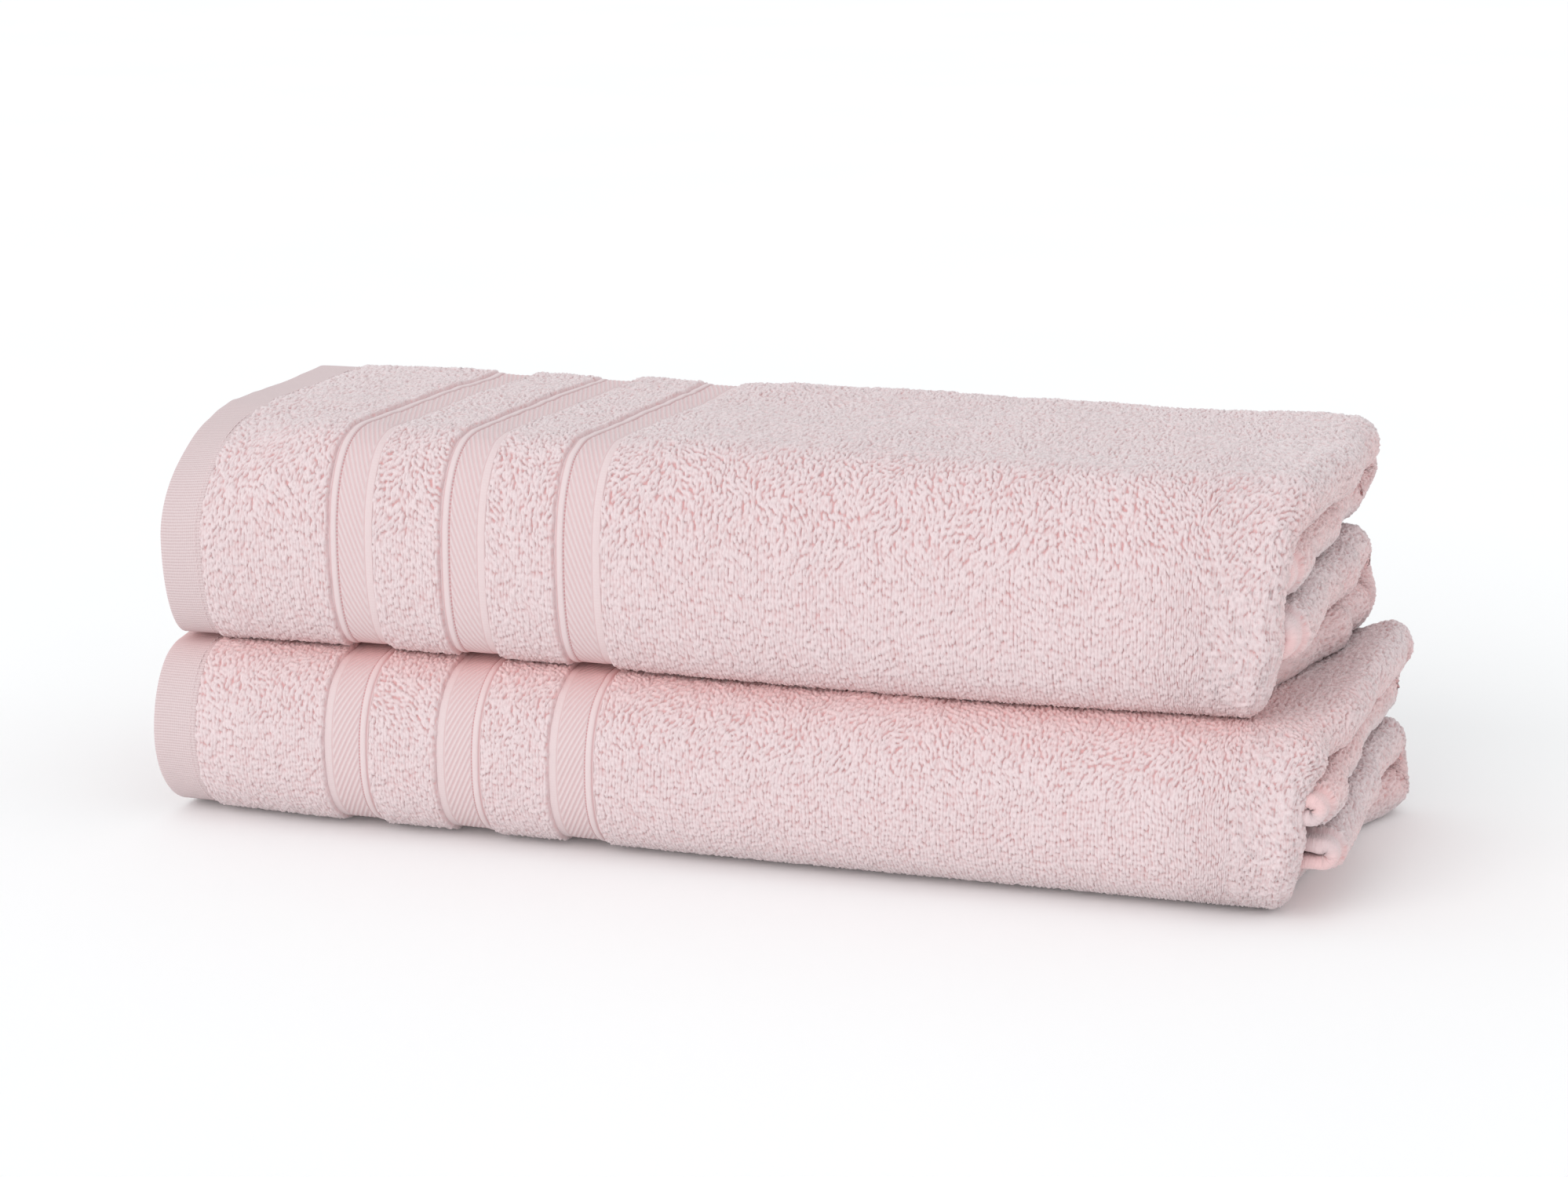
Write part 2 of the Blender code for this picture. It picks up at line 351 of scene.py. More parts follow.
def settle(towel, x, y, z):
    """Soft unevenness of the whole stack, the same for every layer at a place."""
    top = z / towel.height
    lumps = 0
    for size, (shift_x, shift_y), tall, seed in LUMPS:
        noise = value_noise(x / size + shift_x, y / size + shift_y, towel.seed + seed)
        lumps = lumps + noise * tall
    swell = value_noise(x / 0.06, z / 0.05, towel.seed + 2) * SWELL
    front = 1 - smooth(y / 0.06)
    low = towel.low
    sag = SAG_DEPTH * np.exp(-(((x - SAG_PLACE) / SAG_REACH) ** 2))
    drop = SHOULDER_DROP * (1 - smooth((low[1] + y - FRONT_Y) / SHOULDER_REACH))
    touching = 1 - top if towel.name == "upper" else top
    press = PRESS if towel.name == "upper" else -PRESS
    lift = towel.end_lift * smooth((x - LIFT_START[0]) / LIFT_RUN[0])
    lift = lift * smooth((y - LIFT_START[1]) / LIFT_RUN[1])
    z = z + top * (lumps + lift + towel.rise * smooth(x / 0.06)) - (sag + drop + press) * touching
    y = y + front * swell
    x = x + np.interp(x, SKEW_X, towel.skew) * smooth(y / towel.depth)
    return np.stack(np.broadcast_arrays(low[0] + x, low[1] + y, low[2] + z), -1)


def outward(points, u, v):
    """Unit normals of a grid of points on the cloth's showing face, and directions across it."""
    du = np.gradient(points, u, axis=0)
    dv = np.gradient(points, v, axis=1)
    n = np.cross(dv, du)
    n /= np.maximum(np.linalg.norm(n, axis=-1, keepdims=True), 1e-12)
    return n, dv / np.maximum(np.linalg.norm(dv, axis=-1, keepdims=True), 1e-12)


# ------------------------------------------------------------------ pile and weave


def pile(towel, u, v):
    """Height of the looped pile from 0 to 1: short loops in wavering columns."""
    U, V = np.meshgrid(u, v, indexing="ij")
    rng = np.random.default_rng(towel.seed + 10)
    jitter_u, jitter_v, tall, turn, stagger = (rng.uniform(-1, 1, (512, 512)) for _ in range(5))
    front = smooth((V - FRONT_V[0]) / FRONT_V_FADE[0])
    front = front * (1 - smooth((V - FRONT_V[1]) / FRONT_V_FADE[1]))
    other = 1 - front
    drift = value_noise(U / 0.011, V / 0.011, towel.seed + 20)
    wide = value_noise(U / 0.03, V / 0.03, towel.seed + 21)
    angle = (FRONT_TURN[0] * drift + FRONT_TURN[1] * wide) * front
    angle = angle + (OTHER_TURN[0] * drift + OTHER_TURN[1] * wide) * other
    spread = LOOP_SPREAD[0] + LOOP_SPREAD[1] * other
    single = LOOP_TURN[0] + LOOP_TURN[1] * other
    wave = 0.0007 * value_noise(U / 0.012, V / 0.008, towel.seed + 22)
    cu, cv = (U + wave) / LOOP_PITCH_U, V / LOOP_PITCH_V
    column = np.floor(cu).astype(int)
    best = np.zeros_like(U)
    for i in (-2, -1, 0, 1, 2):
        col = column + i
        shift = stagger[col % 512, 0] * 0.5
        row0 = np.floor(cv - shift).astype(int)
        for j in (-1, 0, 1):
            row = row0 + j
            a, b = col % 512, row % 512
            pu = (cu - (col + 0.5 + spread * jitter_u[a, b])) * LOOP_PITCH_U
            pv = (cv - (row + 0.5 + shift + 0.25 * jitter_v[a, b])) * LOOP_PITCH_V
            t = angle + turn[a, b] * single
            c, s = np.cos(t), np.sin(t)
            q = ((pu * c + pv * s) / LOOP_HALF_WIDTH) ** 2
            q = q + ((pv * c - pu * s) / LOOP_HALF_LENGTH) ** 2
            h = np.clip(0.80 + 0.24 * tall[a, b], 0, 1) * np.sqrt(np.clip(1 - q, 0, 1))
            best = np.maximum(best, h)
    return best


def terry_relief(towel, u, v, start, end):
    """For a zone of u: depth of terry below the tips, how near its tips each point is, no twill."""
    height = pile(towel, u, v)
    edge = np.minimum(u - start, end - u)[:, None]
    ragged = value_noise(u[:, None] / 0.003 + 0.5, v[None, :] / 0.0022, towel.seed + 30)
    edge = edge + RAGGED * (ragged - 1) * (edge < 0.004)
    side = np.minimum(v, CLOTH_WIDTH - v)[None, :] - SELVAGE_WIDTH
    wall = smooth((edge + OVERHANG) / WALL_FADE) * smooth(side / SIDE_FADE)
    full = PILE_HEIGHT - PILE_RELIEF * (1 - height)
    depth = PILE_HEIGHT - full * wall
    return depth, np.maximum(height * wall, 0.5 * (1 - wall)), 0 * depth


def groove(b, middle, half_width):
    return np.exp(-(((b - middle) / half_width) ** 2))


def band_relief(towel, u, v, start, end):
    """Depth of a border band below the tips, its tone, and its twill (over 0) or dots (below)."""
    b = (u - start)[:, None]
    lean = 1.0
    if towel.mirrored:
        b, lean = BAND_WIDTH - b, -1.0
    rib = np.sqrt(np.clip(1 - ((b - RIB_MIDDLE) / RIB_HALF_WIDTH) ** 2, 0, 1))
    first, second, third = groove(b, *FIRST_LINE), groove(b, *DOTTED_LINE), groove(b, *LAST_LINE)
    in_twill = smooth((b - TWILL_START) / TWILL_FADE) * smooth((TWILL_END - b) / TWILL_FADE)
    ridge = 0.5 + 0.5 * np.cos(2 * pi * (u[:, None] * lean / TWILL_U - v[None, :] / TWILL_V))
    in_strip = smooth((b - STRIP_START) / 0.0003)
    fine = 0.5 + 0.5 * np.cos(2 * pi * v / STRIP_PITCH)[None, :]
    depth = BAND_DROP - RIB_HEIGHT * rib + DOTTED_DEPTH * second + LAST_DEPTH * third
    depth = depth - TWILL_HEIGHT * in_twill * ridge - STRIP_HEIGHT * in_strip * fine
    inner = smooth((INNER_V - v) / 0.010) + smooth((v - CLOTH_WIDTH + INNER_V) / 0.010)
    depth = depth - (BAND_DROP - 0.0003) * inner[None, :]
    edge = np.minimum(b, BAND_WIDTH - b)
    depth = depth + (PILE_HEIGHT + 0.0003 - depth) * (1 - smooth(edge / 0.0007))
    tone = 0.93 - 0.6 * first - 0.35 * second - 0.5 * third - 0.10 * in_strip * (1 - fine)
    return depth, tone, in_twill * (1 - second) - second + 0 * tone


# ------------------------------------------------------------------ meshes


def side_edge(towel, top, normal, down, flat, column, way):
    """The rounded selvage along one side: columns round the cloth's thickness and back under it."""
    u = flat[:, column, 0]
    _, _, (first, second, _, _) = letter(towel, u)
    near = smooth((u - first + 0.06) / 0.03) * (1 - smooth((u - second - 0.03) / 0.03))
    thick = (towel.layer * (1 + SIDE_BULGE * near) - SIDE_CLEARANCE)[:, None, None]
    top, normal, down, flat = (a[:, column, None] for a in (top, normal, down, flat))
    uneven = value_noise(u / 0.004, u * 0, towel.seed + 40)
    thick = thick * (1 + SIDE_UNEVEN * uneven)[:, None, None]
    turn = SIDE_TURN[None, :, None]
    sunk = PILE_HEIGHT + thick / 2 * (1 - np.cos(turn))
    round_it = top - normal * sunk + down * way * thick / 2 * np.sin(turn)
    under = top - normal * (PILE_HEIGHT + thick) - down * way * SIDE_RETURN
    points = np.concatenate([round_it, under], 1)
    reach = np.append(SIDE_TURN * SIDE_MAP_RADIUS, pi * SIDE_MAP_RADIUS + SIDE_RETURN) * way
    flat = np.repeat(flat, len(reach), axis=1)
    flat[..., 1] += reach
    return points, flat


def bounce_light_share(towel, flat):
    """How much painted bounce light each point takes: where the towels lie against each other, and
    less in the far folds."""
    u, v = flat[:, 0], flat[:, 1]
    middle, reach = towel.contact
    inside = (v - middle) * (1 if towel.name == "upper" else -1)
    wide = np.exp(-((inside / np.where(inside > 0, DEEP_REACH, reach)) ** 2))
    narrow = np.exp(-(((inside + reach / 4) / (reach / 2.5)) ** 2))
    share = 0.60 * wide + 0.18 * narrow
    share *= 1 - 0.65 * smooth((u - towel.contact_end) / 0.03)
    _, _, (first, second, _, _) = letter(towel, u[:1])
    folded = smooth((u - first - 0.006) / 0.012) * (1 - smooth((u - second) / 0.03))
    inner = smooth(np.abs(v - CLOTH_WIDTH / 2 - 0.004) / 0.01 - 15.0)
    return np.maximum(share, FOLD_BOUNCE * folded * (1 + 0.3 * inner))


def squeeze(u, low, high):
    """Shares of a map's width that give most of it to the outer panel."""
    outer, outer_share, inner_share = 0.51, 0.85, 0.15
    if high < outer:
        return (u - low) / (high - low)
    before = (u - low) / (outer - low) * outer_share
    return np.where(u < outer, before, outer_share + inner_share * (u - outer) / (high - outer))


def bake_map(flat):
    """The cloth's own map, from 0 to 1 both ways, with nothing on top of anything else."""
    low, high = flat.min(0), flat.max(0)
    across = (flat[:, 1] - low[1]) / (high[1] - low[1])
    return np.stack([squeeze(flat[:, 0], low[0], high[0]), across], 1)


class Cloth:
    """Collects patches of one woven piece and makes one object of them."""

    def __init__(self):
        self.points, self.quads, self.flat, self.bake = [], [], [], []
        self.tone, self.twill, self.count = [], [], 0

    def grid(self, points, flat, tone, twill=0.0, bake=None):
        rows, columns = points.shape[:2]
        number = np.arange(rows * columns).reshape(rows, columns) + self.count
        a, b, c, d = number[:-1, :-1], number[:-1, 1:], number[1:, 1:], number[1:, :-1]
        self.quads.append(np.stack([a, b, c, d], -1).reshape(-1, 4))
        self.points.append(points.reshape(-1, 3))
        self.flat.append(flat.reshape(-1, 2))
        self.bake.append((flat if bake is None else bake).reshape(-1, 2))
        self.tone.append(tone.reshape(-1))
        self.twill.append(np.broadcast_to(twill, points.shape[:2]).reshape(-1))
        self.count += rows * columns

    def patch(self, towel, u, v, relief, start, end, lean=0.0, sides=False):
        top = tips(towel, u, v)
        normal, down = outward(top, u, v)
        depth, tone, twill = relief(towel, u, v, start, end)
        points = top - normal * depth[..., None] + down * (lean * tone)[..., None]
        flat = np.stack(np.broadcast_arrays(u[:, None], v[None, :]), -1)
        if sides:
            before = side_edge(towel, top, normal, down, flat, 0, -1)
            after = side_edge(towel, top, normal, down, flat, -1, 1)
            points = np.concatenate([before[0][:, ::-1], points, after[0]], 1)
            flat = np.concatenate([before[1][:, ::-1], flat, after[1]], 1)
            wide = ((0, 0), (len(SIDE_TURN) + 1,) * 2)
            tone, twill = np.pad(tone, wide, constant_values=0.55), np.pad(twill, wide)
        self.grid(points, flat, tone, twill)

    def finish(self, name, towel, material, nodes):
        points, quads = np.concatenate(self.points), np.concatenate(self.quads)
        mesh = bpy.data.meshes.new(name)
        mesh.vertices.add(len(points))
        mesh.vertices.foreach_set("co", points.astype(np.float32).ravel())
        mesh.loops.add(quads.size)
        mesh.loops.foreach_set("vertex_index", quads.astype(np.int32).ravel())
        mesh.polygons.add(len(quads))
        mesh.polygons.foreach_set("loop_start", np.arange(0, quads.size, 4, dtype=np.int32))
        mesh.update(calc_edges=True)
        flat, corners = np.concatenate(self.flat), quads.ravel()
        bake = bake_map(np.concatenate(self.bake)[corners])
        for key, uv in {"cloth": flat[corners], "OFBake": bake}.items():
            mesh.uv_layers.new(name=key).data.foreach_set("uv", uv.astype(np.float32).ravel())
        marks = {
            "tone": np.concatenate(self.tone),
            "twill": np.concatenate(self.twill),
            # share of painted bounce light at each point
            "bounce_amount": bounce_light_share(towel, flat),
        }
        for key, values in marks.items():
            layer = mesh.attributes.new(key, "FLOAT", "POINT")
            layer.data.foreach_set("value", values.astype(np.float32))
        mesh.materials.append(material)
        mesh.shade_smooth()
        piece = bpy.data.objects.new(name, mesh)
        bpy.context.collection.objects.link(piece)
        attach(piece, towel.body)
        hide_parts(*nodes)
        return piece


def spaced(*runs):
    """Places along runs of (start, end, spacing), each end shared with the next start."""
    places = []
    for start, end, step in runs:
        count = max(1, round((end - start) / step))
        places.append(np.linspace(start, end, count + 1)[:-1])
    places.append(np.array([runs[-1][1]]))
    return np.concatenate(places)


def refine(places, step):
    """The same places with more between them, no further apart than step."""
    kept = [places[:1]]
    for a, b in zip(places[:-1], places[1:]):
        kept.append(np.linspace(a, b, max(1, int(np.ceil((b - a) / step))) + 1)[1:])
    return np.concatenate(kept)


def width_places(towel, scale):
    """Places across the cloth, close where it shows: the back, the top, the front, the underside
    and the lower back. Spacings are in millimetres."""
    inside, back, front = 6.0, 0.85, 0.53
    top = 0.85 if towel.fine_top else 1.2
    under = 4.0 if towel.fine_top else 2.0
    runs = [
        (0.0, SHOWN_V[0], inside),
        (SHOWN_V[0], 0.170, back),
        (0.170, 0.200, max(back, top * 0.9)),
        (0.200, 0.306, top),
        (0.306, 0.412, front),
        (0.412, 0.500, under),
        (0.500, SHOWN_V[1], back),
        (SHOWN_V[1], CLOTH_WIDTH, inside),
    ]
    return spaced(*[(start, end, step * scale / 1000) for start, end, step in runs])


def make_terry(towel, material):
    """The terry: three strips between hem and bands, the long field, both folds and the inner
    panels."""
    scale = 1.0
    v = width_places(towel, scale)
    _, _, (first, second, third, fourth) = letter(towel, np.array([0.0]))
    nose, nose_end = first - NOSE_ZONE, second + 0.004
    bend, bend_end = third - 0.012, fourth + 0.006
    hidden = OVERHANG + HIDDEN_EDGE
    starts = [HEM_WIDTH] + [band_start(i) + BAND_WIDTH for i in range(BAND_COUNT)]
    ends = [band_start(i) for i in range(BAND_COUNT)] + [CLOTH_LENGTH]
    cloth = Cloth()
    for start, end in zip(starts, ends):
        far = nose if end == CLOTH_LENGTH else end + hidden
        rows = max(8, round((far - start) / (TERRY_STEP * scale)))
        u = np.linspace(start - hidden, far, rows + 1)
        cloth.patch(towel, u, v, terry_relief, start, end, lean=LEAN, sides=True)
    v_inner = refine(np.append(v[:-1:6], v[-1]), INNER_V_STEP)
    for u, v in (
        (spaced((nose, nose_end, NOSE_STEP * scale)), refine(v, NOSE_V_STEP * scale)),
        (spaced((nose_end, bend, INNER_STEP)), v_inner),
        (spaced((bend, bend_end, BEND_STEP * scale)), refine(v_inner, BEND_V_STEP * scale)),
        (spaced((bend_end, CLOTH_LENGTH, INNER_STEP)), v_inner),
    ):
        cloth.patch(towel, u, v, terry_relief, starts[-1], CLOTH_LENGTH, sides=True)
    name, node = f"{towel.name}_terry", f"{towel.name}_terry_body"
    return cloth.finish(name, towel, material, [node])


def make_band(towel, index, material):
    """A border band, sunk between two strips of terry."""
    scale = 1.0
    start = band_start(index)
    u = spaced((start, start + BAND_WIDTH, BAND_STEP * scale))
    v = refine(width_places(towel, scale), BAND_V_STEP * scale)
    cloth = Cloth()
    cloth.patch(towel, u, v, band_relief, start, start + BAND_WIDTH)
    name = f"{towel.name}_band_{index + 1}"
    node = f"{towel.name}_border_band_{index + 1}"
    return cloth.finish(name, towel, material, [node])


def round_ends(points, v):
    """Close a tube's two ends with a short rounded taper."""
    for place, way in ((0, -1), (-1, 1)):
        ring = points[:, place]
        centre = ring.mean(0)
        ahead = centre - points[:, place - way].mean(0)
        ahead /= np.linalg.norm(ahead)
        added, spots = [], []
        for shrink, reach in ((0.8, 0.0009), (0.45, 0.0014), (0.02, 0.0016)):
            added.append(centre + (ring - centre) * shrink + ahead * reach)
            spots.append(v[place] + way * reach)
        added = np.stack(added, 1)
        if way < 0:
            points = np.concatenate([added[:, ::-1], points], 1)
            v = np.concatenate([spots[::-1], v])
        else:
            points = np.concatenate([points, added], 1)
            v = np.concatenate([v, spots])
    return points, v


def make_hem(towel, material):
    """The turned hem: a thin closed strip with a round outer edge."""
    scale = 1.0
    v = refine(width_places(towel, scale), HEM_V_STEP * scale)
    half = HEM_THICKNESS / 2
    bend = np.linspace(pi / 2, -pi / 2, 9)
    across = np.linspace(HEM_WIDTH, half, 12)
    profile = [(a, HEM_DROP) for a in across]
    profile += [(half - half * cos(t), HEM_DROP + half - half * sin(t)) for t in bend[1:]]
    profile += [(a, HEM_DROP + HEM_THICKNESS) for a in across[::-1][1:]]
    profile.append((HEM_WIDTH + 0.0012, HEM_DROP + half))
    profile.append(profile[0])
    way_round = np.linspace(0, 0.05, len(profile))
    u = np.array([p[0] for p in profile])
    steady = np.array([0.0, HEM_WIDTH / 2, HEM_WIDTH + 0.002])
    plan = tips(towel, steady, v)
    normal, _ = outward(plan, steady, v)
    share = (u / steady[-1])[:, None, None]
    flat_top = plan[0] * (1 - share) + plan[2] * share
    bow = (4 * share * (1 - share)) * (plan[1] - (plan[0] + plan[2]) / 2)
    depth = np.array([p[1] for p in profile])[:, None, None]
    points = flat_top + bow - normal[1] * depth
    points, v = round_ends(points, v)
    cloth = Cloth()
    flat = np.stack(np.broadcast_arrays(u[:, None], v[None, :]), -1)
    bake = np.stack(np.broadcast_arrays(way_round[:, None], v[None, :]), -1)
    cloth.grid(points, flat, np.ones(points.shape[:2]), bake=bake)
    name, node = f"{towel.name}_hem", f"{towel.name}_end_hem"
    return cloth.finish(name, towel, material, [node])


def make_stitches(towel, material):
    """The hem's row of stitches: short rounded bars of thread lying on the hem."""
    place, rings = HEM_WIDTH - STITCH_INSET, STITCH_RINGS
    centres = np.arange(*SHOWN_V, STITCH_PITCH)
    cloth = Cloth()
    shape = np.linspace(-1, 1, rings)
    v = (centres[:, None] + shape[None, :] * STITCH_LENGTH / 2).ravel()
    u = np.array([place - 0.001, place, place + 0.001])
    top = tips(towel, u, v)
    normal, down = outward(top, u, v)
    middle, normal, down = top[1], normal[1], down[1]
    side = np.cross(normal, down)
    fat = np.tile(np.sqrt(np.clip(1 - shape**4, 0.06, 1)), len(centres)) * STITCH_RADIUS
    arch = np.tile((1 - shape**2) * STITCH_ARCH, len(centres))
    centre = middle - normal * (HEM_DROP - arch)[:, None]
    for k in range(len(centres)):
        part = slice(k * rings, (k + 1) * rings)
        turn = np.linspace(0, 2 * pi, STITCH_SIDES + 1)[:, None, None]
        spoke = np.cos(turn) * side[part] + np.sin(turn) * normal[part]
        ring = centre[part] + fat[part, None] * spoke
        flat = np.stack(np.broadcast_arrays(turn[..., 0] / 100, v[part][None, :]), -1)
        cloth.grid(ring, flat, np.ones(ring.shape[:2]))
    name, node = f"{towel.name}_stitches", f"{towel.name}_hem_thread"
    return cloth.finish(name, towel, material, [node])


# ------------------------------------------------------------------ materials


class Nodes:
    """A material's node tree, with short calls for the nodes used here."""

    def __init__(self, name, roughness, sheen):
        self.material = bpy.data.materials.new(name)
        self.material.use_nodes = True
        self.tree = self.material.node_tree
        self.shader = self.tree.nodes["Principled BSDF"]
        self.shader.inputs["Roughness"].default_value = roughness
        self.shader.inputs["Sheen Weight"].default_value = sheen
        self.shader.inputs["Sheen Roughness"].default_value = 0.5
        self.shader.inputs["Specular IOR Level"].default_value = 0.15

    def add(self, kind, **values):
        node = self.tree.nodes.new(kind)
        for key, value in values.items():
            if key in node.inputs:
                node.inputs[key].default_value = value
            else:
                setattr(node, key, value)
        return node

    def link(self, source, node, socket):
        """Links a source, which is a node and the number of its output, to a node's socket."""
        self.tree.links.new(source[0].outputs[source[1]], node.inputs[socket])

    def math(self, operation, a, b):
        node = self.add("ShaderNodeMath", operation=operation)
        for socket, value in enumerate((a, b)):
            if isinstance(value, tuple):
                self.link(value, node, socket)
            else:
                node.inputs[socket].default_value = value
        return (node, 0)

    def ramp(self, source, stops):
        node = self.add("ShaderNodeValToRGB")
        ramp = node.color_ramp
        ramp.elements[0].position, ramp.elements[0].color = stops[0][0], (*stops[0][1], 1)
        ramp.elements[1].position, ramp.elements[1].color = stops[-1][0], (*stops[-1][1], 1)
        for place, colour in stops[1:-1]:
            ramp.elements.new(place).color = (*colour, 1)
        self.link(source, node, "Fac")
        return (node, 0)

    def cloth_map(self, scale):
        uv = self.add("ShaderNodeUVMap", uv_map="cloth")
        place = self.add("ShaderNodeMapping")
        place.inputs["Scale"].default_value = scale
        self.link((uv, 0), place, "Vector")
        return (place, 0)

    def noise(self, scale, detail=2.0):
        place = self.cloth_map(scale)
        node = self.add("ShaderNodeTexNoise", Scale=1.0, Detail=detail)
        self.link(place, node, "Vector")
        return (node, 0)

    def wave(self, direction, scale, place, distortion=0.0):
        """Straight bands across a map, as their brightness."""
        kind = {"bands_direction": direction, "Distortion": distortion}
        node = self.add("ShaderNodeTexWave", Scale=scale, **kind)
        self.link(place, node, "Vector")
        return (node, 1)

    def vary(self, source, noise, strength):
        """A source made a little lighter and darker by a noise."""
        shift = self.math("MULTIPLY", self.math("SUBTRACT", noise, 0.5), strength)
        return self.math("ADD", source, shift)

    def mark(self, name):
        """One of the values that the mesh carries at its points."""
        return (self.add("ShaderNodeAttribute", attribute_name=name), 2)

    def paint_bounce_light(self, source, strength):
        """Painted bounce light: a deeper, warmer pink where the towels lie against each other."""
        mix = self.add("ShaderNodeMix", data_type="RGBA")
        amount = self.math("MULTIPLY", self.mark("bounce_amount"), strength)
        self.link(amount, mix, 0)
        self.link(source, mix, 6)
        mix.inputs[7].default_value = (*BOUNCE_PINK, 1)
        return (mix, 2)

    def bump(self, height, distance, strength):
        node = self.add("ShaderNodeBump", Distance=distance, Strength=strength)
        self.link(height, node, "Height")
        self.link((node, 0), self.shader, "Normal")

    def colour(self, source):
        self.link(source, self.shader, "Base Color")


def terry_material(name):
    """Looped cotton with a fine yarn: pale at the tips, with painted shade, a darker and deeper
    pink, between the loops.
    """
    m = Nodes(name, roughness=0.95, sheen=0.6)
    patch = m.noise((90, 90, 90), 3.0)
    yarn = m.noise((1500, 420, 1000), 2.0)
    tone = m.mark("tone")
    # the ramp turns the pile's height into painted shade between the loops
    mixed = m.vary(m.vary(tone, patch, 0.35), yarn, 0.30)
    # painted bounce light mixed over the terry's colour
    m.colour(m.paint_bounce_light(m.ramp(mixed, TERRY_STOPS), TERRY_BOUNCE))
    m.bump(yarn, 0.0008, 0.7)
    return m.material


def band_material(name, lean):
    """Flat twill and a dotted line, smoother than the pile, with single threads in relief."""
    m = Nodes(name, roughness=0.82, sheen=0.15)
    thread = m.noise((1800, 500, 1000), 2.0)
    patch = m.noise((120, 60, 100), 2.0)
    slope = m.cloth_map((lean * WAVE_STEP / TWILL_U, -WAVE_STEP / TWILL_V, 0))
    lines = m.wave("DIAGONAL", 1.0, slope)
    lines[0].inputs["Phase Offset"].default_value = pi / 2
    in_twill = m.math("MAXIMUM", m.mark("twill"), 0.0)
    valley = m.math("MULTIPLY", m.math("SUBTRACT", 1.0, lines), in_twill)
    dots = m.wave("Y", WAVE_PERIOD / DOT_PITCH, m.cloth_map((1, 1, 1)))
    on_line = m.math("MAXIMUM", m.math("MULTIPLY", m.mark("twill"), -1.0), 0.0)
    dotted = m.math("MULTIPLY", on_line, m.math("POWER", dots, 1.5))
    # painted shade: the twill's valleys made darker
    mixed = m.math("SUBTRACT", m.mark("tone"), m.math("MULTIPLY", valley, 0.45))
    mixed = m.math("SUBTRACT", mixed, m.math("MULTIPLY", dotted, 1.1))
    mixed = m.vary(m.vary(mixed, thread, 0.20), patch, 0.08)
    # painted bounce light mixed over the bands' colour
    m.colour(m.paint_bounce_light(m.ramp(mixed, BAND_STOPS), BAND_BOUNCE))
    height = m.math("SUBTRACT", m.math("MULTIPLY", thread, 0.4), valley)
    m.bump(height, 0.0003, 0.7)
    return m.material


def hem_material(name):
    """Plain weave with fine ribs across the hem."""
    m = Nodes(name, roughness=0.85, sheen=0.15)
    place = m.cloth_map((1, 1, 1))
    ribs = m.wave("Y", WAVE_PERIOD / HEM_RIB_PITCH, place, 0.5)
    warp = m.wave("X", WAVE_PERIOD / HEM_WARP_PITCH, place, 0.3)
    for wave, _ in (ribs, warp):
        wave.inputs["Detail Scale"].default_value = 3.0
    thread = m.noise((1500, 1500, 1000), 2.0)
    woven = m.math("ADD", m.math("MULTIPLY", ribs, 0.55), m.math("MULTIPLY", warp, 0.25))
    height = m.math("ADD", woven, m.math("MULTIPLY", thread, 0.4))
    # painted bounce light mixed over the hem's colour
    m.colour(m.paint_bounce_light(m.ramp(height, HEM_STOPS), HEM_BOUNCE))
    m.bump(height, 0.0003, 0.7)
    return m.material


def thread_material(name):
    m = Nodes(name, roughness=0.6, sheen=0.1)
    twist = m.noise((3000, 1800, 1000), 1.0)
    m.colour(m.ramp(twist, THREAD_STOPS))
    return m.material


def floor_material(name):
    m = Nodes(name, roughness=0.9, sheen=0.0)
    grain = m.add("ShaderNodeTexNoise", Scale=40.0, Detail=2.0)
    m.colour(m.ramp((grain, 0), FLOOR_STOPS))
    m.shader.inputs["Emission Color"].default_value = (1, 1, 1, 1)
    m.shader.inputs["Emission Strength"].default_value = 0.03
    return m.material


# ------------------------------------------------------------------ camera, floor and lights


def place_camera():
    azimuth, elevation = CAMERA_AZIMUTH, CAMERA_ELEVATION
    back = Vector((sin(azimuth) * cos(elevation), -cos(azimuth) * cos(elevation), sin(elevation)))
    right = Vector((cos(azimuth), sin(azimuth), 0))
    up = back.cross(right)
    centre = Vector(CAMERA_AIM) + up * CAMERA_RISE
    data = bpy.data.cameras.new("camera")
    data.sensor_width, data.lens = CAMERA_SENSOR, CAMERA_LENS
    camera = bpy.data.objects.new("camera", data)
    camera.location = centre + back * CAMERA_DISTANCE
    camera.rotation_mode = "QUATERNION"
    camera.rotation_quaternion = (-back).to_track_quat("-Z", "Y")
    bpy.context.collection.objects.link(camera)
    bpy.context.scene.camera = camera


def sky_gradient(tree):
    """Light all round, brightest at the horizon so that the floor runs into it."""
    place = tree.nodes.new("ShaderNodeTexCoord")
    parts = tree.nodes.new("ShaderNodeSeparateXYZ")
    ramp = tree.nodes.new("ShaderNodeValToRGB")
    ramp.color_ramp.interpolation = "EASE"
    for element, height, colour in zip(ramp.color_ramp.elements, SKY_HEIGHTS, (HORIZON, ZENITH)):
        element.position, element.color = height, (*colour, 1)
    tree.links.new(place.outputs["Generated"], parts.inputs[0])
    tree.links.new(parts.outputs["Z"], ramp.inputs["Fac"])
    tree.links.new(ramp.outputs[0], tree.nodes["Background"].inputs["Color"])


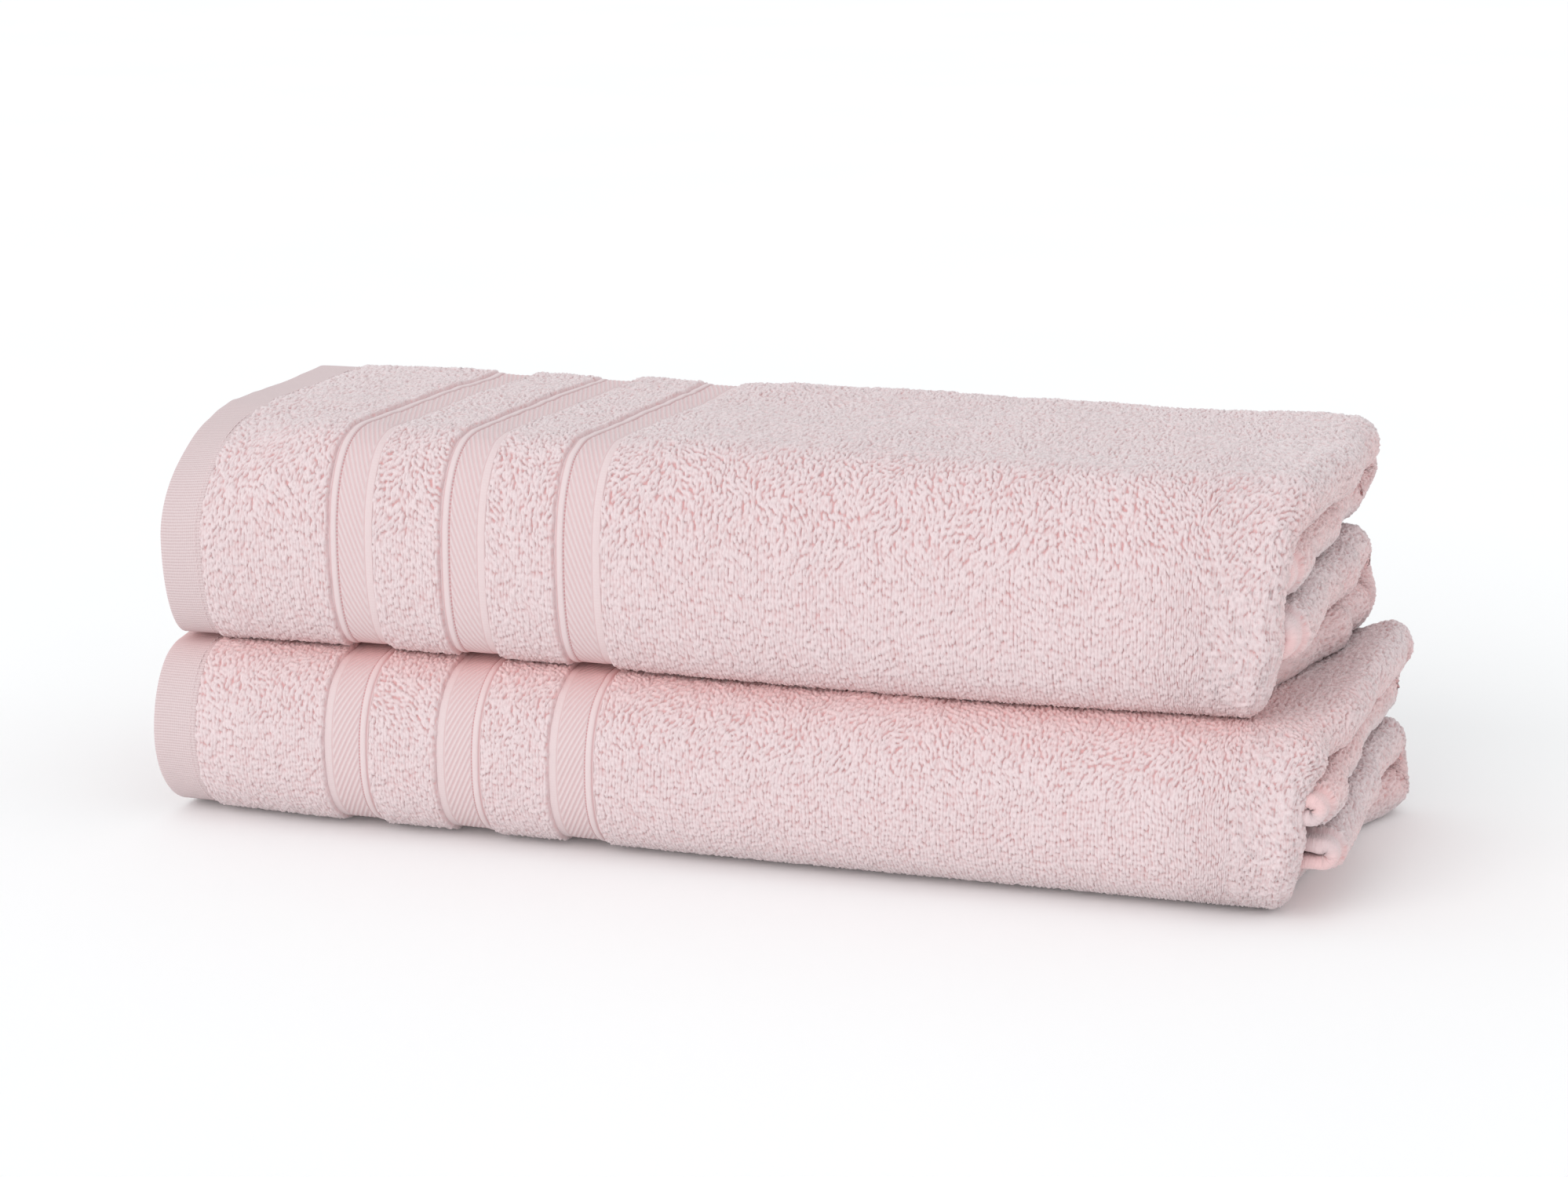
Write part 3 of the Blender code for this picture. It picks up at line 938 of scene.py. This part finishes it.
def studio():
    """A plain floor, light all round and one soft lamp."""
    mesh = bpy.data.meshes.new("floor")
    r = FLOOR_HALF_WIDTH
    mesh.from_pydata([(-r, -r, 0), (r, -r, 0), (r, r, 0), (-r, r, 0)], [], [(0, 1, 2, 3)])
    mesh.materials.append(floor_material("floor"))
    floor = bpy.data.objects.new("floor", mesh)
    bpy.context.collection.objects.link(floor)
    world = bpy.data.worlds.new("studio")
    world.use_nodes = True
    sky_gradient(world.node_tree)
    bpy.context.scene.world = world
    bpy.context.scene.view_settings.view_transform = "Standard"
    data = bpy.data.lights.new("key", "SUN")
    data.energy, data.angle = KEY_STRENGTH, KEY_ANGLE
    lamp = bpy.data.objects.new("key", data)
    lamp.rotation_mode = "QUATERNION"
    lamp.rotation_quaternion = Vector(KEY_WAY).to_track_quat("-Z", "Y")
    bpy.context.collection.objects.link(lamp)


# ------------------------------------------------------------------ the set


LOWER = Towel(
    name="lower",
    front_round=0.029,
    front_round_low=0.034,
    hem_round=0.026,
    hem_round_low=0.034,
    hem_shift=0.0034,
    contact=(0.303, 0.018),
    contact_end=0.432,
    selvage_reach=(-0.009, -0.002),
    set_back=(
        0.006, 0.004, -0.002, -0.002, 0.008, 0.013, 0.015,
        0.019, 0.024, 0.019, 0.010, -0.004, 0.0, 0.003,
    ),
    skew=(0.0, 0.002, 0.003, 0.0, 0.0, 0.0),
    mirrored=True,
    fine_top=False,
    rise=0.0,
    end_lift=0.0065,
    seed=11,
)
UPPER = Towel(
    name="upper",
    front_round=0.034,
    front_round_low=0.027,
    hem_round=0.078,
    hem_round_low=0.022,
    hem_shift=0.0010,
    contact=(0.398, 0.0105),
    contact_end=0.46,
    selvage_reach=(-0.007, -0.007),
    set_back=(
        0.010, 0.010, 0.003, 0.0, 0.006, 0.012, 0.017,
        0.017, 0.026, 0.016, 0.006, 0.003, 0.004, 0.008,
    ),
    skew=(-0.003, 0.003, 0.008, 0.007, 0.002, 0.0),
    mirrored=False,
    fine_top=True,
    rise=0.0015,
    end_lift=0.0,
    seed=47,
)


def dress(towel):
    """One towel's terry, hem, bands and stitches, each hung from the towel's one body."""
    name = towel.name
    terry = make_terry(towel, terry_material(f"{name}_terry"))
    extras = [make_hem(towel, hem_material(f"{name}_plain_weave"))]
    twill = band_material(f"{name}_twill", -1 if towel.mirrored else 1)
    extras += [make_band(towel, index, twill) for index in range(BAND_COUNT)]
    extras.append(make_stitches(towel, thread_material(f"{name}_thread")))
    return terry


place_camera()
studio()
lower_terry = dress(LOWER)
dress(UPPER)
